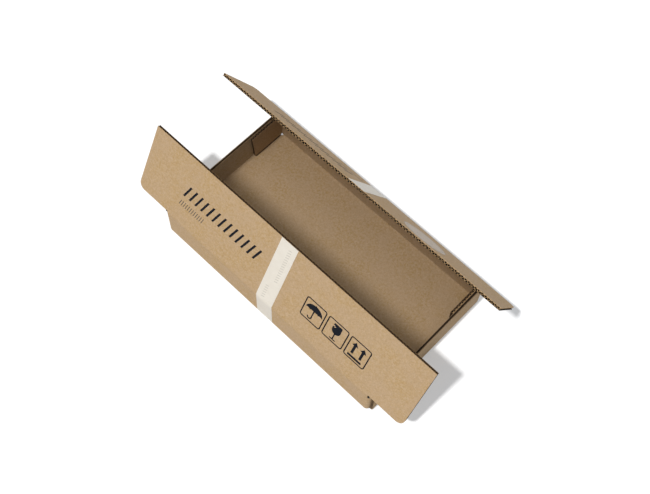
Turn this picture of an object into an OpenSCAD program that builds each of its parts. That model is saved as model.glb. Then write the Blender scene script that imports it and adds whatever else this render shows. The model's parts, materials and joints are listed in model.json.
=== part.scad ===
// Corrugated mailer box: a shallow folded tray with two long top flaps.
// The origin is on the underside of the base, at its middle.
// +X runs along the long walls, +Y points to the rear wall and +Z up.

/* [Board] */
// Thickness of the corrugated board
board_t = 4.2; // [3:0.1:6]
// Thickness of each flat liner
liner_t = 0.5; // [0.3:0.05:0.8]
// Thickness of the wavy medium between the liners
medium_t = 0.45; // [0.3:0.05:0.7]
// Distance from one flute to the next
flute_pitch = 5.67; // [5:0.01:9]
// Width of each crest where the medium is glued to a liner
crest_w = 1; // [0.8:0.1:1.4]
// Inner radius of a folded corner
fold_in_r = 0.6; // [0.3:0.1:2]

/* [Tray] */
// Length over the corner folds of the long walls
box_l = 398; // [300:1:600]
// Width over the two long walls
box_w = 236; // [200:1:300]
// Height of the flap creases above the surface
crease_h = 61.5; // [45:0.5:100]
// Clearance between the closed flaps and the end walls
end_drop = 0.8; // [0.4:0.1:4]
// Clearance between an end wall's edge and the long wall's corner fold
end_clear = 1.2; // [0.5:0.1:6]
// Gap between an end wall and the tabs inside it
tab_gap = 0.4; // [0.3:0.1:1]

/* [Corner tabs] */
// Length of a tab at its top, from the long wall's outer face
tab_l = 66; // [30:1:90]
// How much shorter a tab is at its bottom
tab_taper = 4; // [0:0.5:10]
// Gap between a tab and the base below it
tab_lift = 1.6; // [1:0.1:5]
// How far a tab's top lies below the long wall's crushed edge
tab_drop = 0.3; // [0.3:0.1:3]
// Diameter of the relief hole at each corner of the base
relief_d = 4.4; // [3:0.1:6]

/* [Flaps] */
// Gap between the two flaps when both are closed
flap_gap = 1; // [0.6:0.1:10]
// Length of the ears that the flaps have past the long walls
ear_l = 56; // [20:1:80]
// Radius of the ear corners on the crease side
ear_r = 11; // [4:0.5:25]
// Height of an ear's lower edge above the crease
ear_rise = 0.5; // [0.2:0.1:3]
// Angle of the front flap from upright, towards the inside
front_lean = 27; // [0:1:60]
// Angle of the rear flap from upright, towards the inside
rear_lean = 30; // [0:1:60]

/* [Creases] */
// Width of the flattened band beside a flap's crease
crease_band = 6; // [4:0.5:12]
// Width of the flattened band beside a folded corner
fold_band = 3; // [1:0.5:8]
// Clearance between a flap's rounded root and the wall below it
crease_gap = 0.55; // [0.5:0.05:1]
// Slope of the wall's crushed top edge on either side of its ridge
crease_slope = 30; // [28:1:40]
// How far a flap's rounded root stops short of the tray's end
crease_end = 0.4; // [0.3:0.1:3]

/* [Paper tape] */
// Width of the tape
tape_w = 30; // [15:1:60]
// Thickness of the tape
tape_t = 0.15; // [0.1:0.05:0.3]
// Place of the tape's middle along the box
tape_x = 0; // [-100:1:40]

/* [Seal] */
// Diameter of the round seal on the rear flap
seal_d = 73; // [30:1:90]
// Thickness of the seal
seal_t = 0.15; // [0.1:0.05:0.3]
// Place of the seal's middle along the box
seal_x = 110; // [60:1:150]
// Distance of the seal's middle from the crease
seal_s = 70; // [50:1:70]
// Number of scallops round the seal
scallops = 28; // [12:1:40]
// Depth of a scallop
scallop_depth = 1.2; // [0.5:0.1:2]

/* [Hidden] */
$fn = 48;
kraft = [0.76, 0.64, 0.49];
tape_white = [0.92, 0.89, 0.85];
seal_white = [0.88, 0.87, 0.85];
// Extra length of a cutter past the face that it cuts
over = 1;

fold_r = board_t + fold_in_r;
half_l = box_l / 2;
half_w = box_w / 2;
// The flats between the folds
flat_x = half_l - fold_r;
flat_y = half_w - fold_r;
// A crease runs along the middle of the board's thickness
crease_y = half_w - board_t / 2;
flap_l = crease_y - flap_gap / 2;
flap_half = half_l + ear_l;
root_half = half_l - crease_end;
// The wall stops below the crease, at a ridge that the flap turns over
ridge_z = crease_h - board_t / 2 - crease_gap;
lip_z = ridge_z - board_t / 2 * tan(crease_slope);
end_top = crease_h - board_t / 2 - end_drop;
end_x = half_l + tab_gap + board_t;
end_half = flat_y - end_clear;
tab_bottom = board_t + tab_lift;
tab_top = lip_z - tab_drop;
// Angle round the bottom fold at which the tape is trimmed, just above the surface
tape_tuck = 70;

// The medium is a wave of glued crests and straight flanks between the liners
core_half = board_t / 2 - liner_t;
swing = core_half - medium_t / 2;
flank_slope = 2 * swing / (flute_pitch / 2 - crest_w);
// Sideways shift from the middle of the medium to its face, along a flank
flank_shift = medium_t / 2 * sqrt(1 + 1 / pow(flank_slope, 2));
// Half widths of an open cell, on the medium and at its mouth on the liner
cell_floor = crest_w / 2 + medium_t / 2 / flank_slope - flank_shift;
cell_mouth = crest_w / 2 + (swing + core_half) / flank_slope - flank_shift;

// One open cell at x; side is 1 for a cell that lies on the +Y liner
function cell(x, side) = [
    [x - cell_mouth, side * core_half],
    [x - cell_floor, side * (medium_t - core_half)],
    [x + cell_floor, side * (medium_t - core_half)],
    [x + cell_mouth, side * core_half]
];

// Section across the flutes, from x = 0 to run and centred on the thickness.
// Cells lie half a pitch apart, on one liner and then on the other, with one at start.
// The board's edges cut through whatever cell lies there, as a die does.
module fluted_section(run, start) {
    step = flute_pitch / 2;
    first = -floor((start + cell_mouth) / step);
    last = floor((run - start + cell_mouth) / step);
    difference() {
        translate([0, -board_t / 2]) square([run, board_t]);
        for (i = [first:last])
            polygon(cell(start + i * step, i % 2 == 0 ? 1 : -1));
    }
}

// Quarter ring of a folded corner, from +X round to +Y
module fold_section() {
    intersection() {
        difference() {
            circle(r = fold_r);
            circle(r = fold_in_r);
        }
        square(fold_r + over);
    }
}

// The base with its two long walls, as one bent section along X.
// The outer flutes are closed off by creases all round, so it is drawn solid.
module long_section() {
    translate([-flat_y, 0]) square([2 * flat_y, board_t]);
    for (side = [0, 1])
        mirror([side, 0]) {
            translate([flat_y, fold_r]) rotate(-90) fold_section();
            polygon([
                [half_w - board_t, fold_r],
                [half_w, fold_r],
                [half_w, lip_z],
                [crease_y, ridge_z],
                [half_w - board_t, lip_z]
            ]);
        }
}

module long_walls() {
    rotate([90, 0, 90])
        translate([0, 0, -flat_x])
            linear_extrude(2 * flat_x) long_section();
}

// The end wall at +X with its bottom fold and the strip of base that carries it.
// Its flutes run along Y, and its top edge cuts one of them open.
module end_wall() {
    wall_h = end_top - fold_r;
    rotate([90, 0, 0])
        translate([0, 0, -end_half])
            linear_extrude(2 * end_half) {
                translate([flat_x - over, 0])
                    square([end_x - fold_r - flat_x + over, board_t]);
                translate([end_x - fold_r, fold_r]) rotate(-90) fold_section();
                translate([end_x - board_t, fold_r]) square([board_t, fold_band]);
                translate([end_x - board_t / 2, fold_r])
                    rotate(90) fluted_section(wall_h, wall_h);
            }
}

// The corner fold at +X +Y and its tab, whose flutes run upright
module corner_tab() {
    tab_flat = tab_l - fold_r;
    tab_h = tab_top - tab_bottom;
    translate([flat_x, flat_y, tab_bottom])
        linear_extrude(tab_h) {
            fold_section();
            translate([fold_in_r, -fold_band]) square([board_t, fold_band]);
        }
    difference() {
        translate([half_l - board_t / 2, half_w - tab_l, tab_bottom])
            linear_extrude(tab_h)
                rotate(90) fluted_section(tab_flat, tab_flat / 2);
        // The tab's end leans, so that its bottom is shorter
        translate([half_l - board_t - over, half_w - tab_l, tab_bottom])
            rotate([90, 0, 90])
                linear_extrude(board_t + 2 * over)
                    polygon([
                        [-over, -over],
                        [tab_taper, -over],
                        [tab_taper, 0],
                        [0, tab_h],
                        [-over, tab_h]
                    ]);
    }
}

module tray() {
    color(kraft)
        difference() {
            union() {
                long_walls();
                for (mx = [0, 1])
                    mirror([mx, 0, 0]) {
                        end_wall();
                        for (my = [0, 1])
                            mirror([0, my, 0]) corner_tab();
                    }
            }
            for (sx = [-1, 1])
                for (sy = [-1, 1])
                    translate([sx * flat_x, sy * flat_y, -over])
                        cylinder(d = relief_d, h = over + board_t + tab_lift / 2);
        }
}

// Cutter that rounds the lower corner of the ear that ends at +X
module ear_corner_cutter() {
    translate([flap_half - ear_r, board_t / 2 + over, ear_rise + ear_r])
        rotate([90, 0, 0])
            linear_extrude(board_t + 2 * over)
                difference() {
                    translate([0, -ear_r - over]) square(ear_r + over);
                    circle(r = ear_r);
                }
}

// A flap standing upright on its crease line, with its outer face towards -Y.
// Its flutes run from the free edge to the flattened band beside the crease.
module flap_board() {
    difference() {
        union() {
            translate([-flap_half, 0, ear_rise])
                linear_extrude(flap_l - ear_rise)
                    fluted_section(2 * flap_half, flap_half);
            translate([-root_half, -board_t / 2, 0])
                cube([2 * root_half, board_t, crease_band]);
            translate([-root_half, 0, 0])
                rotate([0, 90, 0]) cylinder(d = board_t, h = 2 * root_half);
        }
        for (side = [0, 1])
            mirror([side, 0, 0]) ear_corner_cutter();
    }
}

module at_front_crease() {
    translate([0, -crease_y, crease_h]) rotate([-front_lean, 0, 0]) children();
}

// The rear flap is the same board turned round, so its X is reversed
module at_rear_crease() {
    translate([0, crease_y, crease_h]) rotate([rear_lean, 0, 0]) rotate([0, 0, 180]) children();
}

module front_flap() {
    color(kraft) at_front_crease() flap_board();
}

module rear_flap() {
    color(kraft) at_rear_crease() flap_board();
}

// Tape on the outer face of a flap that stands as flap_board() draws it
module flap_tape(x) {
    translate([x - tape_w / 2, -board_t / 2 - tape_t, 0])
        cube([tape_w, tape_t, flap_l]);
}

// Tape on the rear wall's outer face and part way round its bottom fold
module wall_tape() {
    reach = 2 * fold_r;
    translate([tape_x - tape_w / 2, 0, 0])
        rotate([90, 0, 90])
            linear_extrude(tape_w) {
                translate([half_w, fold_r]) square([tape_t, lip_z - fold_r]);
                translate([flat_y, fold_r])
                    intersection() {
                        difference() {
                            circle(r = fold_r + tape_t);
                            circle(r = fold_r);
                        }
                        polygon([
                            [0, 0],
                            [reach, 0],
                            [reach, -reach],
                            [reach * cos(tape_tuck), -reach * sin(tape_tuck)]
                        ]);
                    }
            }
}

module front_flap_tape() {
    color(tape_white) at_front_crease() flap_tape(tape_x);
}

module rear_flap_tape() {
    color(tape_white) at_rear_crease() flap_tape(-tape_x);
}

module front_wall_tape() {
    color(tape_white) mirror([0, 1, 0]) wall_tape();
}

module rear_wall_tape() {
    color(tape_white) wall_tape();
}

// Distance of the seal's edge from its middle, at angle a
function seal_edge(a) = (seal_d - scallop_depth + scallop_depth * cos(scallops * a)) / 2;

// A round paper seal with a scalloped edge, on the rear flap's outer face
module rear_seal() {
    step = 360 / scallops / 4;
    color(seal_white)
        at_rear_crease()
            translate([-seal_x, -board_t / 2, seal_s])
                rotate([90, 0, 0])
                    linear_extrude(seal_t)
                        polygon([
                            for (a = [0:step:360 - step / 2])
                                [seal_edge(a) * cos(a), seal_edge(a) * sin(a)]
                        ]);
}

tray();
front_flap();
rear_flap();
front_flap_tape();
front_wall_tape();
rear_flap_tape();
rear_wall_tape();
rear_seal();
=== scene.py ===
"""Looks of a corrugated mailer box: kraft board, paper tape, a round seal and plain printed signs.

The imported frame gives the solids, the bodies and the creases. Sizes here are in millimetres,
in the frame's own axes, and MM turns them into metres where points are made.
"""

import json
import math

import bpy
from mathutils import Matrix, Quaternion, Vector


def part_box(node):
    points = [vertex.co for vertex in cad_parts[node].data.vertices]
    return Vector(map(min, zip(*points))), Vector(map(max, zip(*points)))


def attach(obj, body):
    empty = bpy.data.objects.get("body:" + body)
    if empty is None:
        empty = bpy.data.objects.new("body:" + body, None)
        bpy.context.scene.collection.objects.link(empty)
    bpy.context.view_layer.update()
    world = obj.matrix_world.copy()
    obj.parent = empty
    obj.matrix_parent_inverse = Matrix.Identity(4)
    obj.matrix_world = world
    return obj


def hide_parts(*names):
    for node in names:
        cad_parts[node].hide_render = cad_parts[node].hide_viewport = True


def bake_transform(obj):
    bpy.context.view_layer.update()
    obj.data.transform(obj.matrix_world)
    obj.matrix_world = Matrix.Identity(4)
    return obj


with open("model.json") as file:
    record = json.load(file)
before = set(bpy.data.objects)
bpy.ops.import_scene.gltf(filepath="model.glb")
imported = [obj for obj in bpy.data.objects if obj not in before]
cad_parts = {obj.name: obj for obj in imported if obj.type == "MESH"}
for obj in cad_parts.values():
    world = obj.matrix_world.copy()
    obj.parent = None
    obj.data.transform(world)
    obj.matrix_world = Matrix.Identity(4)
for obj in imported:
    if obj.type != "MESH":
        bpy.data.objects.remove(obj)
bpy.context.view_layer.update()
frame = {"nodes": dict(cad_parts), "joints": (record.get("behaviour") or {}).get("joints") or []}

MM = 0.001

# The board, as the solids have it
BOARD = 4.2
LINER = 0.5
FLUTE_PITCH = 5.67
# Outer radius of a fold
FOLD_R = 4.8
# Gap between an end wall and the tabs inside it
TAB_GAP = 0.4
# A flap's rounded root stops this far short of the long walls' ends
ROOT_SHORT = 0.4
# The end walls end this far below the closed flaps
END_DROP = 0.8
# The corner tabs and their folds end this far below the crease
TAB_DROP = 4.16

# A face counts as lying on a plane within this distance
NEAR = 0.02
# The share of a face's normal along an axis: over FACING the face looks along it, over MOSTLY it
# does so for the most part, and under SQUARE the normal is square to it
FACING = 0.99
MOSTLY = 0.9
SQUARE = 0.01

# Thin skins of paper over the creases, which bend with the flaps
SKIN_RISE = 0.03
SKIN_THICK = 0.12
SKIN_DOWN = 14
SKIN_UP = 9
SKIN_COLUMNS = 80
# The outer skins end this far past the flats of the base, and the inner ones this far short
OUTER_PAST = 0.8
INNER_SHORT = 0.3
# The creased board turns from the wall to the flap between these distances from the crease
TURN_DOWN = 12
TURN_UP = 4
# A bending piece has its rows closest together between these distances from the crease
FINE_DOWN = 5
FINE_UP = 4

# The tape lies on the board's outer face and over the crease's skin
TAPE_UNDER = 0.045
TAPE_OVER = 0.15
TAPE_TUCK = math.radians(68)
TAPE_COLUMNS = 12

# Print is a film of ink
INK_UNDER = 0.008
INK_OVER = 0.022


def box_mm(node):
    """Lowest and highest corner of a solid, in millimetres."""
    low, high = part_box(node)
    return low / MM, high / MM


class Flap:
    """A flap's own axes at rest: u to the right as seen from outside, s up and d outwards.

    s starts at the crease and d at the middle of the board.
    """

    def __init__(self, name, joint_name):
        joint = next(j for j in frame["joints"] if j["name"] == joint_name)
        self.name = name
        self.crease = Vector(joint["pos_m"]) / MM
        self.side = math.copysign(1, self.crease.y)
        self.lean = math.radians(90 - joint["range_deg"][1])
        self.up = Vector((0, -self.side * math.sin(self.lean), math.cos(self.lean)))
        self.out = Vector((0, self.side * math.cos(self.lean), math.sin(self.lean)))
        self.right = self.up.cross(self.out)
        low, high = box_mm(name)
        # The free edge's highest corner is on the outer face
        free_rise = high.z - self.crease.z - BOARD / 2 * math.sin(self.lean)
        self.length = free_rise / math.cos(self.lean)
        self.half = high.x

    def point(self, u, s, d):
        return self.crease + u * self.right + s * self.up + d * self.out

    def facing(self, turn):
        """Outward direction of board that leans inwards by turn, in radians."""
        return Vector((0, self.side * math.cos(turn), math.sin(turn)))

    def axes_of(self, place, normal):
        """A place and a normal of the frame, as (u, s, d) in this flap's axes."""
        away = place - self.crease
        return (
            Vector((away.dot(self.right), away.dot(self.up), away.dot(self.out))),
            Vector((normal.dot(self.right), normal.dot(self.up), normal.dot(self.out))),
        )


front = Flap("front_flap", "front_crease")
rear = Flap("rear_flap", "rear_crease")
tray_low, tray_high = box_mm("tray")
# Both strips of tape are as wide as this part of the front one
tape_low, tape_high = box_mm("front_flap_tape")
CREASE_Z = front.crease.z
END_X = tray_high.x
END_TOP = CREASE_Z - BOARD / 2 - END_DROP
HALF_L = END_X - BOARD - TAB_GAP
HALF_W = tray_high.y
ROOT_HALF = HALF_L - ROOT_SHORT
# The flats of the base end here, where the folds start
FLAT_X = HALF_L - FOLD_R
FLAT_Y = HALF_W - FOLD_R


def scaled(colour, share):
    return tuple(c * share for c in colour)


class Shader:
    """One material's node tree. add() makes a node, links or sets its inputs and returns it."""

    def __init__(self, name):
        self.material = bpy.data.materials.new(name)
        self.material.use_nodes = True
        self.tree = self.material.node_tree
        self.tree.nodes.clear()

    def add(self, kind, inputs=None, **settings):
        node = self.tree.nodes.new("ShaderNode" + kind)
        for key, value in settings.items():
            setattr(node, key, value)
        for key, value in (inputs or {}).items():
            if isinstance(value, bpy.types.NodeSocket):
                self.tree.links.new(value, node.inputs[key])
            else:
                node.inputs[key].default_value = value
        return node

    def place(self, rest=False):
        """Where a point of the surface is at rest, in metres.

        Pieces that bend keep their rest place in an attribute, so their grain bends with them.
        """
        if rest:
            return self.add("Attribute", attribute_name="rest_place").outputs["Vector"]
        return self.add("TexCoord").outputs["Object"]

    def stretched(self, place, scale):
        return self.add("Mapping", {"Vector": place, "Scale": scale}).outputs["Vector"]

    def math(self, operation, first, second=0.0):
        return self.add("Math", {0: first, 1: second}, operation=operation).outputs[0]

    def noise(self, place, size_mm, detail, roughness, w=0.0):
        """Cloudy noise between 0 and 1, whose blotches are about size_mm across."""
        inputs = {
            "Vector": place,
            "W": w,
            "Scale": 1 / (size_mm * MM),
            "Detail": detail,
            "Roughness": roughness,
        }
        return self.add("TexNoise", inputs, noise_dimensions="4D").outputs["Fac"]

    def between(self, value, low, high, to_low=0.0, to_high=1.0, smooth=True):
        """The value's stretch from low to high, spread over to_low to to_high."""
        inputs = {
            "Value": value,
            "From Min": low,
            "From Max": high,
            "To Min": to_low,
            "To Max": to_high,
        }
        kind = "SMOOTHSTEP" if smooth else "LINEAR"
        return self.add("MapRange", inputs, clamp=True, interpolation_type=kind).outputs["Result"]

    def patches(self, place, size_mm, detail, roughness, low, high, w=0.0):
        """Soft patches: 0 where a noise of this size is under low, and 1 where it is over high."""
        return self.between(self.noise(place, size_mm, detail, roughness, w), low, high)

    def within(self, value, middle_mm, reach_mm):
        """How far a length lies from plus or minus middle_mm, as a share of reach_mm."""
        away = self.math("SUBTRACT", self.math("ABSOLUTE", value), middle_mm * MM)
        return self.math("DIVIDE", self.math("ABSOLUTE", away), reach_mm * MM)

    def mix(self, factor, first, second, blend="MIX"):
        node = self.add("Mix", data_type="RGBA", blend_type=blend)
        for socket, value in (("Factor_Float", factor), ("A_Color", first), ("B_Color", second)):
            target = next(s for s in node.inputs if s.identifier == socket)
            if isinstance(value, bpy.types.NodeSocket):
                self.tree.links.new(value, target)
            elif socket == "Factor_Float":
                target.default_value = value
            else:
                target.default_value = (*value, 1)
        return next(s for s in node.outputs if s.identifier == "Result_Color")

    def cover(self, colour, top, share, strength):
        """A colour with another over it, which covers it by strength where share is 1."""
        return self.mix(self.math("MULTIPLY", share, strength), colour, top)

    def finish(self, colour, roughness, specular, height=None, height_mm=0.0, sheen=0.0):
        inputs = {
            "Base Color": colour,
            "Roughness": roughness,
            "Specular IOR Level": specular,
            "Sheen Weight": sheen,
        }
        self.surface = self.add("BsdfPrincipled", inputs)
        if height is not None:
            bump = self.add("Bump", {"Height": height, "Distance": height_mm * MM})
            self.tree.links.new(bump.outputs["Normal"], self.surface.inputs["Normal"])
        self.add("OutputMaterial", {"Surface": self.surface.outputs["BSDF"]})
        return self.material


def painted_notch_shade(shader, axes, colour, drop, reach):
    """Painted shade where a flap's crease meets a corner's fold, standing in for the dark relief
    hole there.

    It is a dark oval painted on the liner, whose middle lies drop below the crease, with reach
    above and below.
    """
    past_flat, half_width = 2.7, 2.4
    # The oval's near-black colour is painted shade
    dark = (0.003, 0.002, 0.001)
    across = shader.within(axes["X"], FLAT_X + past_flat, half_width)
    down = shader.within(axes["Z"], CREASE_Z - drop, reach)
    radius = shader.math("ADD", shader.math("POWER", across, 2), shader.math("POWER", down, 2))
    return shader.mix(shader.between(radius, 0.9, 1.1), dark, colour)


def tab_shade(shader, axes, colour):
    """Painted shade of the gap between a corner tab and the base: a dark line painted on the base
    beside the tab.
    """
    tab_half, gap, half_width = 28, 0.3, 0.8
    # The line's dark colour is painted shade
    dark = (0.02, 0.012, 0.006)
    away = shader.within(axes["X"], HALF_L - BOARD - gap, half_width)
    line = shader.between(away, 0.8, 1.1, 1, 0)
    beside = shader.between(shader.within(axes["Y"], FLAT_Y - tab_half, tab_half), 0.97, 1.0, 1, 0)
    low = shader.between(axes["Z"], (BOARD + 0.1) * MM, (BOARD + 0.3) * MM, 1, 0)
    share = shader.math("MULTIPLY", shader.math("MULTIPLY", line, beside), low)
    return shader.cover(colour, dark, share, 0.85)


def kraft_liner(name, palette, painted_light_gain=1.0, rest=False, notch_shade=None, foot=False):
    """A kraft liner: cloudy tan and ochre blotches, grain, fibres, specks and a faint washboard.

    A gain other than 1 paints the whole liner lighter or darker, as painted light or shade. On a
    bending piece, which has rest, it holds for the wall alone and fades out towards the crease. The
    notch values add the painted shade of the relief holes, as their (drop, reach), and foot adds
    the painted shade beside the corner tabs.
    """
    shader = Shader(name)
    place = shader.place(rest)
    tan, ochre, rose = (scaled(colour, 1 if rest else painted_light_gain) for colour in palette)
    blotch = shader.patches(place, 3.6, 4, 0.68, 0.36, 0.64)
    cloud = shader.patches(place, 34, 3, 0.55, 0.35, 0.65, w=3)
    colour = shader.mix(blotch, ochre, tan)
    colour = shader.cover(colour, rose, cloud, 0.55)
    grain = shader.noise(place, 1.5, 3, 0.65, w=7)
    tint = shader.mix(shader.between(grain, 0.2, 0.8), (0.87, 0.86, 0.80), (1.13, 1.14, 1.2))
    colour = shader.mix(1.0, colour, tint, "MULTIPLY")
    along = shader.stretched(place, (0.16, 1, 1))
    dark_fibre = shader.patches(along, 0.45, 2, 0.5, 0.62, 0.72, w=11)
    colour = shader.cover(colour, scaled(ochre, 0.7), dark_fibre, 0.2)
    pale_fibre = shader.patches(along, 0.5, 2, 0.5, 0.64, 0.74, w=17)
    colour = shader.cover(colour, scaled(rose, 1.25), pale_fibre, 0.2)
    speck = shader.patches(place, 1.1, 0, 0.5, 0.8, 0.84, w=23)
    colour = shader.cover(colour, scaled(ochre, 0.45), speck, 0.35)
    axes = shader.add("SeparateXYZ", {"Vector": place}).outputs
    # The painted light or shade fades out towards the crease
    if rest and painted_light_gain != 1:
        fade = shader.between(axes["Z"], (CREASE_Z - SKIN_DOWN) * MM, (CREASE_Z - 2) * MM, painted_light_gain, 1)
        colour = shader.mix(1.0, colour, fade, "MULTIPLY")
    if notch_shade:
        colour = painted_notch_shade(shader, axes, colour, *notch_shade)
    # Painted shade along the gaps at the corner tabs' feet
    if foot:
        colour = tab_shade(shader, axes, colour)
    wave = shader.math("SINE", shader.math("MULTIPLY", axes["X"], 2 * math.pi / (FLUTE_PITCH * MM)))
    fuzz = shader.math("MULTIPLY", dark_fibre, 0.3)
    rough = shader.math("ADD", shader.math("MULTIPLY", grain, 0.5), fuzz)
    height = shader.math("ADD", rough, shader.math("MULTIPLY", wave, 0.1))
    return shader.finish(colour, 0.88, 0.12, height, 0.06, sheen=0.04)


def cut_board(name, dark, light, outwards=None, lit_from=0.0, shaded=(0.13, 0.08, 0.04)):
    """Raw paper where the board is cut, rough with torn fibres.

    Along the direction outwards, only what lies beyond lit_from has these colours. The rest,
    towards the board's inner side, is painted in the shaded colour: painted shade.
    """
    shader = Shader(name)
    place = shader.place()
    blotch = shader.patches(place, 2.2, 3, 0.6, 0.35, 0.65, w=31)
    colour = shader.mix(blotch, dark, light)
    if outwards:
        depth = shader.add("VectorMath", {0: place, 1: tuple(outwards)}, operation="DOT_PRODUCT")
        limits = (lit_from - 0.1) * MM, (lit_from + 0.1) * MM
        inner = shader.between(depth.outputs["Value"], *limits, 1, 0)
        colour = shader.mix(inner, colour, shaded)
    fuzz = shader.noise(place, 0.35, 2, 0.6, w=37)
    shade = shader.between(fuzz, 0.2, 0.8, 0.82, 1.18, smooth=False)
    colour = shader.mix(1.0, colour, shade, "MULTIPLY")
    return shader.finish(colour, 0.95, 0.12, fuzz, 0.06)


def paper_tape(name, white, shade):
    """Pale paper tape: soft clouds, fine fibres and a slightly uneven surface."""
    shader = Shader(name)
    place = shader.place(rest=True)
    cloud = shader.patches(place, 9, 3, 0.55, 0.35, 0.65, w=41)
    colour = shader.cover(white, shade, cloud, 0.5)
    along = shader.stretched(place, (1, 0.2, 0.2))
    fibre = shader.patches(along, 0.4, 2, 0.5, 0.6, 0.72, w=43)
    colour = shader.cover(colour, shade, fibre, 0.2)
    grain = shader.noise(place, 0.9, 2, 0.5, w=47)
    return shader.finish(colour, 0.5, 0.12, grain, 0.02)


def seal_paper(name, white, line, centre, radius):
    """The seal's paper, with three ring lines inside its scalloped edge and one in the middle."""
    # Each ring's radius as a share of the seal's, and half its width
    rings = ((0.97, 0.6), (0.86, 0.6), (0.79, 0.3), (0.36, 0.45))
    shader = Shader(name)
    place = shader.place()
    away = shader.add("VectorMath", {0: place, 1: tuple(centre * MM)}, operation="DISTANCE")
    cloud = shader.patches(place, 5, 3, 0.55, 0.35, 0.65, w=53)
    colour = shader.cover(white, scaled(white, 0.93), cloud, 0.4)
    for share, half_width in rings:
        off = shader.math("SUBTRACT", away.outputs["Value"], share * radius * MM)
        limits = half_width * MM, (half_width + 0.15) * MM
        ring = shader.between(shader.math("ABSOLUTE", off), *limits, 1, 0)
        colour = shader.cover(colour, line, ring, 0.8)
    grain = shader.noise(place, 0.8, 2, 0.5, w=59)
    return shader.finish(colour, 0.5, 0.12, grain, 0.015)


def ink(name, colour, faded):
    """Printing ink, a little thinner where the paper's grain kept it off."""
    shader = Shader(name)
    thin = shader.patches(shader.place(), 0.8, 3, 0.6, 0.58, 0.8, w=61)
    return shader.finish(shader.cover(colour, faded, thin, 0.3), 0.75, 0.1)


# Tan, ochre and rose paper, for the outer and the inner liner
OUTER_PAPER = ((0.550, 0.387, 0.230), (0.487, 0.316, 0.140), (0.525, 0.366, 0.224))
INNER_PAPER = ((0.395, 0.280, 0.169), (0.338, 0.223, 0.105), (0.378, 0.266, 0.164))
# The inside of the end walls is painted a little paler than the base: painted light on the same
# inner liner
END_INNER_PAPER = ((0.442, 0.342, 0.223), (0.379, 0.272, 0.139), (0.423, 0.325, 0.216))
# The long walls are painted a little lighter than the flaps, and the end walls a little darker:
# painted light and painted shade on the same outer paper
WALL_PAINTED_LIGHT = 1.07
END_PAINTED_SHADE = 0.93

# The flaps' and the long walls' liners carry the painted shade of the relief holes
outer_liner = kraft_liner("outer_liner", OUTER_PAPER, notch_shade=(1.2, 3.2))
inner_liner = kraft_liner("inner_liner", INNER_PAPER)
base_liner = kraft_liner("base_liner", INNER_PAPER, foot=True)
wall_liner = kraft_liner("wall_liner", OUTER_PAPER, WALL_PAINTED_LIGHT, notch_shade=(4.2, 4.2))
end_liner = kraft_liner("end_liner", OUTER_PAPER, END_PAINTED_SHADE)
end_inner_liner = kraft_liner("end_inner_liner", END_INNER_PAPER)
outer_skin_liner = kraft_liner("outer_skin_liner", OUTER_PAPER, WALL_PAINTED_LIGHT, rest=True)
inner_skin_liner = kraft_liner("inner_skin_liner", INNER_PAPER, rest=True)

# The cut edges carry painted light and shade: the front flap's cut edge is painted lit on its outer
# liner alone, the rear flap's on all but the inner one, and the corner tabs' tops on the outer half
# of the tabs at the right; the rest is painted shade
RAW_PAPER = ((0.46, 0.28, 0.13), (0.60, 0.40, 0.215))
front_lit = front.crease.dot(front.out) + BOARD / 2 - LINER
rear_lit = rear.crease.dot(rear.out) - BOARD / 2 + LINER
tab_lit = HALF_L - BOARD / 2
raw_edge = cut_board("raw_edge", *RAW_PAPER, (1, 0, 0), tab_lit, (0.17, 0.105, 0.055))
front_raw_edge = cut_board("front_raw_edge", *RAW_PAPER, front.out, front_lit, (0.16, 0.095, 0.045))
rear_raw_edge = cut_board("rear_raw_edge", *RAW_PAPER, rear.out, rear_lit)
end_cut_edge = cut_board("end_cut_edge", (0.21, 0.14, 0.08), (0.29, 0.20, 0.12))
# Dark crushed board, also used as painted shade on the left end wall's inner top edge
crushed_edge_and_shade = cut_board("crushed_edge_and_shade", (0.15, 0.09, 0.045), (0.24, 0.155, 0.08))
# The flutes' insides are near-black: painted shade in the hollows
flute_painted_shade = cut_board("flute_painted_shade", (0.022, 0.013, 0.006), (0.05, 0.031, 0.016))
# The end walls' flute insides are painted dark brown near the front ends and near-black further in:
# painted shade of the hollows
END_PAPER = ((0.10, 0.066, 0.036), (0.15, 0.10, 0.058))
end_flute_shade = cut_board("end_flute_shade", *END_PAPER, (0, -1, 0), FLAT_Y - 5, (0.032, 0.02, 0.01))
tape_white = paper_tape("tape_white", (0.835, 0.77, 0.665), (0.79, 0.72, 0.61))
tape_grey = ink("tape_grey", (0.66, 0.61, 0.52), (0.74, 0.68, 0.59))
black_ink = ink("black_ink", (0.007, 0.0085, 0.013), (0.035, 0.03, 0.027))
grey_ink = ink("grey_ink", (0.085, 0.078, 0.072), (0.16, 0.135, 0.11))

# The board's finishes, by their place in a solid's list of materials
OUTER, INNER, CUT, CRUSHED_AND_SHADE, HOLLOW, END, END_CUT, END_HOLLOW, END_INNER = range(9)
front_finishes = (outer_liner, inner_liner, front_raw_edge, crushed_edge_and_shade, flute_painted_shade)
rear_finishes = (outer_liner, inner_liner, rear_raw_edge, crushed_edge_and_shade, flute_painted_shade)
tray_finishes = (
    wall_liner,
    base_liner,
    raw_edge,
    crushed_edge_and_shade,
    flute_painted_shade,
    end_liner,
    end_cut_edge,
    end_flute_shade,
    end_inner_liner,
)


def near(value, *planes):
    return any(abs(value - plane) < NEAR for plane in planes)


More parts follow.
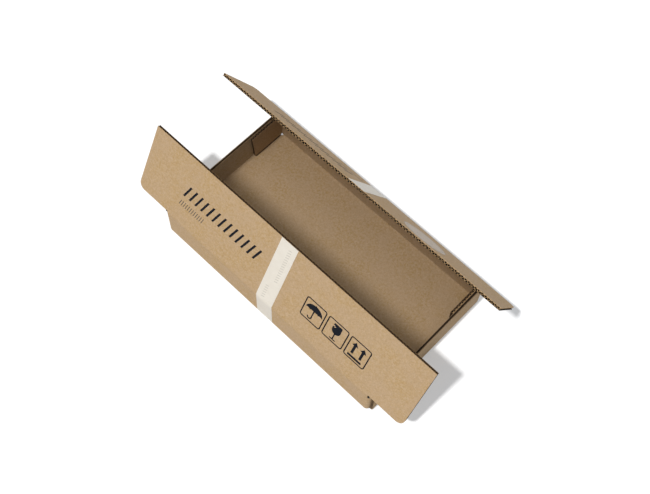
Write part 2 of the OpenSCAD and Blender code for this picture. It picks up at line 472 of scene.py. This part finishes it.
def flap_face(flap):
    """Says which finish a face of a flap's solid has."""

    def finish_of(place, normal):
        where, facing = flap.axes_of(place, normal)
        if where.z > BOARD / 2 - NEAR:
            return OUTER
        if where.z < NEAR - BOARD / 2:
            return INNER
        # The rounded root beside the crease carries the liners round it
        if where.y < 0:
            return CRUSHED_AND_SHADE if abs(facing.x) > 0.5 else OUTER if where.z > 0 else INNER
        if facing.y > MOSTLY:
            return CUT if near(where.y, flap.length) else HOLLOW
        if abs(facing.y) > NEAR or near(abs(where.x), flap.half):
            return CUT
        return CRUSHED_AND_SHADE if near(abs(where.x), HALF_L, ROOT_HALF) else HOLLOW

    return finish_of


def tray_face(place, normal):
    """Says which finish a face of the tray's solid has."""
    x, y, z = abs(place.x), abs(place.y), place.z
    along_x, along_y, along_z = (abs(share) for share in normal)
    outwards = normal.dot(place - Vector((0, 0, tray_high.z / 2))) > 0
    skin = OUTER if outwards else INNER
    # The flat faces of the base, the long walls, the end walls and the tabs
    if along_z > FACING and near(z, 0, BOARD):
        return skin
    if along_y > FACING and near(y, HALF_W, HALF_W - BOARD):
        return skin
    if along_x > FACING and near(x, END_X, END_X - BOARD):
        return END if near(x, END_X) else END_INNER
    if along_x > FACING and near(x, HALF_L, HALF_L - BOARD):
        return skin
    bottom_fold = along_x < SQUARE and y > FLAT_Y and z < FOLD_R
    end_fold = along_y < SQUARE and x > END_X - FOLD_R and z < FOLD_R
    corner_fold = along_z < SQUARE and x > FLAT_X and y > FLAT_Y
    if bottom_fold or end_fold or corner_fold:
        return skin
    # What is left is the board's edges and the insides of its flutes
    if y > FLAT_Y:
        return HOLLOW if z > CREASE_Z - TAB_DROP - NEAR else CRUSHED_AND_SHADE
    if z < BOARD:
        return CRUSHED_AND_SHADE
    if x > END_X - BOARD:
        # At the top, the inner liner's edge at the left end is painted with the dark crushed
        # finish: painted shade
        if near(z, END_TOP):
            return CRUSHED_AND_SHADE if place.x < 0 and x < END_X - BOARD / 2 else END_CUT
        return END_CUT if along_y > MOSTLY else END_HOLLOW
    if x > HALF_L - BOARD:
        return CUT if along_z > MOSTLY else CRUSHED_AND_SHADE if along_z > SQUARE else HOLLOW
    return CRUSHED_AND_SHADE


def dress(node, finishes, finish_of):
    """Gives a solid's faces their materials, by where each face lies."""
    mesh = frame["nodes"][node].data
    mesh.materials.clear()
    for material in finishes:
        mesh.materials.append(material)
    for face in mesh.polygons:
        face.material_index = finish_of(face.center / MM, face.normal)


dress("tray", tray_finishes, tray_face)
dress("front_flap", front_finishes, flap_face(front))
dress("rear_flap", rear_finishes, flap_face(rear))


def make_piece(name, points, faces, material, smooth=True):
    """A mesh piece from points in millimetres."""
    mesh = bpy.data.meshes.new(name)
    mesh.from_pydata([tuple(p * MM) for p in points], [], faces)
    mesh.validate()
    mesh.materials.append(material)
    if smooth:
        mesh.shade_smooth()
    else:
        mesh.shade_flat()
    piece = bpy.data.objects.new(name, mesh)
    bpy.context.scene.collection.objects.link(piece)
    return piece


def keep_rest_place(piece):
    """Stores each point's place at rest, which the bending pieces' materials read."""
    mesh = piece.data
    attribute = mesh.attributes.new("rest_place", "FLOAT_VECTOR", "POINT")
    for vertex in mesh.vertices:
        attribute.data[vertex.index].vector = vertex.co


def steps(start, end, count):
    """count + 1 even values from start to end."""
    return [start + (end - start) * i / count for i in range(count + 1)]


def band(name, over, under, x_low, x_high, columns, material, slot):
    """A thin closed band along X. over and under are its two faces' sections, as (y, z) lists."""
    rows = len(over)
    xs = steps(x_low, x_high, columns)
    points = [Vector((x, y, z)) for section in (over, under) for x in xs for y, z in section]
    layer = (columns + 1) * rows

    def at(side, column, row):
        return side * layer + column * rows + row

    faces = []
    for c in range(columns):
        for r in range(rows - 1):
            faces.append((at(0, c, r), at(0, c, r + 1), at(0, c + 1, r + 1), at(0, c + 1, r)))
            faces.append((at(1, c, r), at(1, c + 1, r), at(1, c + 1, r + 1), at(1, c, r + 1)))
        for r in (0, rows - 1):
            edge = (at(0, c, r), at(0, c + 1, r), at(1, c + 1, r), at(1, c, r))
            faces.append(edge if r == 0 else edge[::-1])
    for r in range(rows - 1):
        for c in (0, columns):
            edge = (at(0, c, r), at(1, c, r), at(1, c, r + 1), at(0, c, r + 1))
            faces.append(edge if c == 0 else edge[::-1])
    # Whichever way the section runs, the faces look outwards
    first, second, third = (points[i] for i in faces[0][:3])
    if (second - first).cross(third - first).dot(points[0] - points[layer]) < 0:
        faces = [face[::-1] for face in faces]
    return make_piece(name, points, faces, material)


def stations(reach_up, reach_down):
    """Distances from the crease, from reach_up on the flap to reach_down on the wall.

    They are close together beside the crease, where the board bends.
    """
    above = steps(reach_up, FINE_UP, 12)[:-1] + steps(FINE_UP, 0, 8)[:-1]
    below = steps(0, -FINE_DOWN, 10)[1:] + steps(-FINE_DOWN, -reach_down, 12)[1:]
    return above, below


def outer_line(flap, rise, s_top, z_bottom, tuck=0):
    """The line over a flap's outer face, its crease and the wall, rise above the board.

    From the flap at s_top down to the wall at z_bottom, then round the bottom fold by tuck.
    """
    reach = BOARD / 2 + rise
    above, below = stations(s_top, flap.crease.z - z_bottom)
    line = [flap.point(0, s, reach) for s in above]
    line += [flap.crease + reach * flap.facing(turn) for turn in steps(flap.lean, 0, 8)]
    line += [flap.crease + reach * flap.facing(0) + Vector((0, 0, t)) for t in below]
    if tuck:
        centre = Vector((0, flap.side * FLAT_Y, FOLD_R))
        line += [centre + (FOLD_R + rise) * flap.facing(-turn) for turn in steps(0, tuck, 10)[1:]]
    return [(p.y, p.z) for p in line]


def inner_line(flap, rise, s_top, z_bottom):
    """The line over a flap's inner face, into the groove of its crease and down the wall."""
    reach = -BOARD / 2 - rise
    above, below = stations(s_top, flap.crease.z - z_bottom)
    # The two faces meet at this distance from the crease, and no other row lies close to it
    meet = -reach * math.tan(flap.lean / 2)
    clear = meet + 0.3
    wall = flap.crease + reach * flap.facing(0)
    line = [flap.point(0, s, reach) for s in above if s > clear]
    line.append(flap.point(0, meet, reach))
    line += [wall + Vector((0, 0, t)) for t in below if t < -clear]
    return [(p.y, p.z) for p in line]


def bend_at_crease(piece, flap):
    """Keeps a piece's rest place and bakes its transform into its points."""
    keep_rest_place(piece)
    across = BOARD / 2 * flap.facing(0)
    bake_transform(piece)


def turn_softly(piece, flap):
    """Shades a skin or a tape like board that turns slowly from the wall to the flap."""
    mesh = piece.data
    half = len(mesh.vertices) // 2
    normals = []
    for vertex in mesh.vertices:
        away = vertex.co / MM - flap.crease
        on_flap = away.dot(flap.up) > 0 and away.z > 0
        distance = away.dot(flap.up) if on_flap else min(0, away.z)
        share = min(1, max(0, (distance + TURN_DOWN) / (TURN_DOWN + TURN_UP)))
        turn = flap.lean * share * share * (3 - 2 * share)
        over = 1 if vertex.index < half else -1
        normals.append(tuple(flap.facing(turn) * over))
    mesh.normals_split_custom_set_from_vertices(normals)


def crease_skin(flap, name):
    """The outer liner, running on over the crease."""
    bottom = flap.crease.z - SKIN_DOWN
    over = outer_line(flap, SKIN_RISE, SKIN_UP, bottom)
    under = outer_line(flap, SKIN_RISE - SKIN_THICK, SKIN_UP, bottom)
    half = FLAT_X + OUTER_PAST
    skin = band(name, over, under, -half, half, SKIN_COLUMNS, outer_skin_liner, "kraft_board")
    turn_softly(skin, flap)
    bend_at_crease(skin, flap)


def inner_skin(flap, name):
    """The inner liner, pressed into the groove of the crease."""
    bottom = flap.crease.z - SKIN_DOWN
    over = inner_line(flap, SKIN_RISE, SKIN_UP, bottom)
    under = inner_line(flap, SKIN_RISE - SKIN_THICK, SKIN_UP, bottom)
    half = FLAT_X - INNER_SHORT
    skin = band(name, over, under, -half, half, SKIN_COLUMNS, inner_skin_liner, "kraft_board")
    bend_at_crease(skin, flap)


def tape_strip(flap, name, replaced):
    """One strip of tape from the flap's free edge over the crease and down the wall."""
    over = outer_line(flap, TAPE_OVER, flap.length, FOLD_R, TAPE_TUCK)
    under = outer_line(flap, TAPE_UNDER, flap.length, FOLD_R, TAPE_TUCK)
    limits = tape_low.x, tape_high.x
    strip = band(name, over, under, *limits, TAPE_COLUMNS, tape_white, "paper_tape")
    turn_softly(strip, flap)
    bend_at_crease(strip, flap)
    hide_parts(*replaced)


crease_skin(front, "front_crease_liner")
crease_skin(rear, "rear_crease_liner")
inner_skin(front, "front_groove_liner")
inner_skin(rear, "rear_groove_liner")
tape_strip(front, "front_tape", ("front_flap_tape", "front_wall_tape"))
tape_strip(rear, "rear_tape", ("rear_flap_tape", "rear_wall_tape"))


def dress_seal(node):
    low, high = box_mm(node)
    white, line = (0.560, 0.457, 0.355), (0.33, 0.28, 0.22)
    material = seal_paper("seal_white", white, line, (low + high) / 2, (high.x - low.x) / 2)
    seal_node = frame["nodes"][node]
    seal_node.data.materials.clear()
    seal_node.data.materials.append(material)


dress_seal("rear_seal")


def arc(cx, cy, radius, start, end, count=16, squash=1.0):
    """Points on an arc round (cx, cy), with its angles in degrees."""
    angles = [math.radians(a) for a in steps(start, end, count)]
    return [(cx + radius * math.cos(a), cy + radius * squash * math.sin(a)) for a in angles]


def rounded_box(cx, cy, size, radius):
    """Outline of a square with rounded corners."""
    off = size / 2 - radius
    corners = ((off, off, 0), (-off, off, 90), (-off, -off, 180), (off, -off, 270))
    return [p for dx, dy, a in corners for p in arc(cx + dx, cy + dy, radius, a, a + 90, 8)]


def bar(x0, y0, x1, y1, width):
    """Outline of a straight stroke with square ends."""
    along = Vector((x1 - x0, y1 - y0)).normalized()
    side = Vector((-along.y, along.x)) * width / 2
    return [
        (x0 + side.x, y0 + side.y),
        (x0 - side.x, y0 - side.y),
        (x1 - side.x, y1 - side.y),
        (x1 + side.x, y1 + side.y),
    ]


def slanted(x, low, high, slant, width):
    """Outline of a slanted stroke with level ends, whose middle is at x."""
    top, bottom, half = x + slant / 2, x - slant / 2, width / 2
    return [(bottom - half, low), (bottom + half, low), (top + half, high), (top - half, high)]


def stroke_arc(cx, cy, radius, start, end, width):
    """Outline of a bent stroke."""
    return arc(cx, cy, radius + width / 2, start, end) + arc(cx, cy, radius - width / 2, end, start)


def shifted(outline, dx, dy):
    return [(x + dx, y + dy) for x, y in outline]


def print_on(flap, name, groups, material, rise=0.0):
    """Prints filled outlines on a flap's outer face, or on what lies rise above it.

    A group's outlines may cut holes in it.
    """
    mesh_points, mesh_faces = [], []
    middle = BOARD / 2 + rise + (INK_OVER + INK_UNDER) / 2
    for group in groups:
        curve = bpy.data.curves.new(name, "CURVE")
        curve.dimensions = "2D"
        curve.fill_mode = "BOTH"
        curve.extrude = (INK_OVER - INK_UNDER) / 2
        for outline in group:
            spline = curve.splines.new("POLY")
            spline.points.add(len(outline) - 1)
            for point, (u, s) in zip(spline.points, outline):
                point.co = (u, s, 0, 1)
            spline.use_cyclic_u = True
        shape = bpy.data.objects.new(name, curve)
        flat = shape.to_mesh()
        base = len(mesh_points)
        mesh_points += [flap.point(v.co.x, v.co.y, middle + v.co.z) for v in flat.vertices]
        mesh_faces += [tuple(base + i for i in face.vertices) for face in flat.polygons]
        shape.to_mesh_clear()
        bpy.data.objects.remove(shape)
        bpy.data.curves.remove(curve)
    piece = make_piece(name, mesh_points, mesh_faces, material, smooth=False)
    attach(piece, flap.name)


# The handling signs stand in a row along u, each in a frame with round corners
SIGN_FIRST = 73
SIGN_PITCH = 40
SIGN_S = 48
SIGN_SIZE = 36.7
SIGN_LINE = 1.85
SIGN_ROUND = 3.8


def sign_frame(cx, cy):
    outer = rounded_box(cx, cy, SIGN_SIZE, SIGN_ROUND)
    return [outer, rounded_box(cx, cy, SIGN_SIZE - 2 * SIGN_LINE, SIGN_ROUND - SIGN_LINE)]


def umbrella():
    """An open umbrella: a domed canopy with a scalloped hem, a stick and a hooked handle."""
    half, hem, stroke, handle, hook_r = 14.6, 0.4, 1.9, -10.4, 3.2
    scallops = []
    for i in range(4):
        middle = half - (2 * i + 1) * half / 4
        scallops += arc(middle, hem, half / 4, 0, 180, 8, 0.48)[1:]
    canopy = arc(0, hem, half, 180, 0, 32, 0.82) + scallops
    stick = bar(0, 2, 0, handle, stroke)
    hook = stroke_arc(-hook_r, handle, hook_r, 0, -180, stroke)
    tip = bar(0, 11.5, 0, 13.4, 1.5)
    return canopy, stick, hook, tip


def glass():
    """A stemmed glass with a crack running in from its left side."""
    bowl = arc(0, 4, 7.5, 180, 360, 20) + [(7.1, 13.8), (-7.1, 13.8)]
    upper_side = [(-7.2, 9.6), (-4.9, 10.4), (-4.5, 8), (-1.8, 8.8)]
    lower_side = [(-4.9, 5.9), (-5.3, 8.3), (-7.4, 7.6)]
    stem = bar(0, -2, 0, -13.2, 1.9)
    foot = bar(-5.2, -13.4, 5.2, -13.4, 1.8)
    return bowl + upper_side + lower_side, stem, foot


def arrows():
    """Two upright arrows over a ground line."""
    tip, neck, half_head = 13.1, 6.3, 5.2
    marks = []
    for x in (-7.2, 7):
        marks.append([(x, tip), (x - half_head, neck), (x + half_head, neck)])
        marks.append(bar(x, 6.4, x, -8, 4))
    marks.append(bar(-12.3, -12.7, 11.7, -12.7, 3.7))
    return marks


def print_signs():
    """One piece for each sign with its frame."""
    for i, sign in enumerate((umbrella, glass, arrows)):
        cx = SIGN_FIRST + i * SIGN_PITCH
        marks = [[shifted(outline, cx, SIGN_S)] for outline in sign()]
        print_on(front, "front_sign_" + sign.__name__, [sign_frame(cx, SIGN_S)] + marks, black_ink)


def bar_row(x_first, x_last, count, low, high, slant, width):
    """A row of slanted bars."""
    return [[slanted(x, low, high, slant, width)] for x in steps(x_first, x_last, count - 1)]


def dash_column(left, right, s_first, s_last, count):
    """A column of short dashes along the tape, each a little aslant."""
    slant, width = 1.8, 1.4
    return [[bar(left, s, right, s + slant, width)] for s in steps(s_first, s_last, count - 1)]


BARS = {"count": 13, "low": 47, "high": 69, "slant": 8, "width": 3.6}
DASHES = {"count": 12, "low": 28.5, "high": 38.5, "slant": 2.6, "width": 1.1}
TAPE_MARKS = dash_column(1.6, 7.4, 42, 104, 15) + dash_column(-7.4, -1.6, 4, 26, 6)

print_signs()
print_on(front, "front_bars", bar_row(-174, -38, **BARS), black_ink)
print_on(front, "front_dashes", bar_row(-180, -136, **DASHES), grey_ink)
print_on(front, "front_tape_marks", TAPE_MARKS, tape_grey, TAPE_OVER)
print_on(rear, "rear_bars", bar_row(38, 174, **BARS), black_ink)
print_on(rear, "rear_dashes", bar_row(20, 64, **DASHES), grey_ink)


def ray_share(tree):
    """1 for what the camera sees, also in gloss or through glass, and 0 for light that bounces."""
    rays = tree.nodes.new("ShaderNodeLightPath").outputs
    share = rays["Is Camera Ray"]
    for kind in ("Is Glossy Ray", "Is Transmission Ray"):
        either = tree.nodes.new("ShaderNodeMath")
        either.operation = "MAXIMUM"
        tree.links.new(share, either.inputs[0])
        tree.links.new(rays[kind], either.inputs[1])
        share = either.outputs[0]
    return share


def floor():
    """A wide white floor. The camera sees it as white paper, and it bounces less light."""
    # Half its width in metres, its grey for bounced light and as seen, and its glow as seen
    half, bounced, paper, glow_level = 30, 0.55, 0.6, 0.34
    mesh = bpy.data.meshes.new("floor")
    corners = [(-half, -half, 0), (half, -half, 0), (half, half, 0), (-half, half, 0)]
    mesh.from_pydata(corners, [], [(0, 1, 2, 3)])
    plane = bpy.data.objects.new("floor", mesh)
    bpy.context.scene.collection.objects.link(plane)
    shader = Shader("floor_white")
    seen = ray_share(shader.tree)
    colour = shader.mix(seen, (bounced,) * 3, (paper,) * 3)
    mesh.materials.append(shader.finish(colour, 1.0, 0.0))
    shader.surface.inputs["Emission Color"].default_value = (1, 1, 1, 1)
    glow = shader.math("MULTIPLY", seen, glow_level)
    shader.tree.links.new(glow, shader.surface.inputs["Emission Strength"])
    return plane


def towards(azimuth, elevation):
    """The direction to a far point. Azimuth 0 is the front, at -Y. Both are in degrees."""
    a, e = math.radians(azimuth), math.radians(elevation)
    return Vector((math.sin(a) * math.cos(e), -math.cos(a) * math.cos(e), math.sin(e)))


def sun(name, azimuth, elevation, strength, angle, receivers):
    """A lamp far away that lights the objects of one collection."""
    lamp = bpy.data.lights.new(name, "SUN")
    lamp.energy = strength
    lamp.angle = math.radians(angle)
    holder = bpy.data.objects.new(name, lamp)
    holder.rotation_mode = "QUATERNION"
    holder.rotation_quaternion = towards(azimuth, elevation).to_track_quat("Z", "Y")
    bpy.context.scene.collection.objects.link(holder)
    holder.light_linking.receiver_collection = receivers


def room():
    """A pale world, which the camera sees as white."""
    world = bpy.data.worlds.new("studio")
    world.use_nodes = True
    tree = world.node_tree
    background = tree.nodes["Background"]
    tint = ("RGBA", (0.95, 1, 1.08, 1), (1, 1, 1, 1), "Color")
    level = ("FLOAT", 0.33, 1.0, "Strength")
    for kind, bounced, seen, target in (tint, level):
        mix = tree.nodes.new("ShaderNodeMix")
        mix.data_type = kind
        mix.inputs["A"].default_value = bounced
        mix.inputs["B"].default_value = seen
        tree.links.new(ray_share(tree), mix.inputs["Factor"])
        tree.links.new(mix.outputs["Result"], background.inputs[target])
    bpy.context.scene.world = world


def light(plane):
    """A softer key lamp on the box than on the floor, and a wide lamp overhead."""
    on_floor = bpy.data.collections.new("lit_floor")
    on_floor.objects.link(plane)
    on_box = bpy.data.collections.new("lit_box")
    on_box.objects.link(plane)
    on_box.collection_objects[0].light_linking.link_state = "EXCLUDE"
    sun("key_floor", -4.8, 64.2, strength=3.5, angle=3, receivers=on_floor)
    sun("key_box", -3, 65, strength=1.65, angle=10, receivers=on_box)
    sun("overhead", 0, 80, strength=0.8, angle=50, receivers=on_box)


def camera():
    """The photograph's view. Its width and focal length are in pixels, and its place in metres."""
    photo_width, focal_length, sensor_mm = 650, 1054.6, 36
    azimuth, elevation, roll = 40.24, 65.02, math.radians(3.92)
    data = bpy.data.cameras.new("camera")
    data.sensor_width = sensor_mm
    data.lens = sensor_mm * focal_length / photo_width
    level_view = towards(azimuth, elevation).to_track_quat("Z", "Y")
    holder = bpy.data.objects.new("camera", data)
    holder.location = (0.4104, -0.4804, 1.4123)
    holder.rotation_mode = "QUATERNION"
    holder.rotation_quaternion = level_view @ Quaternion((0, 0, 1), roll)
    bpy.context.scene.collection.objects.link(holder)
    bpy.context.scene.camera = holder


light(floor())
room()
camera()
bpy.context.scene.view_settings.view_transform = "Standard"
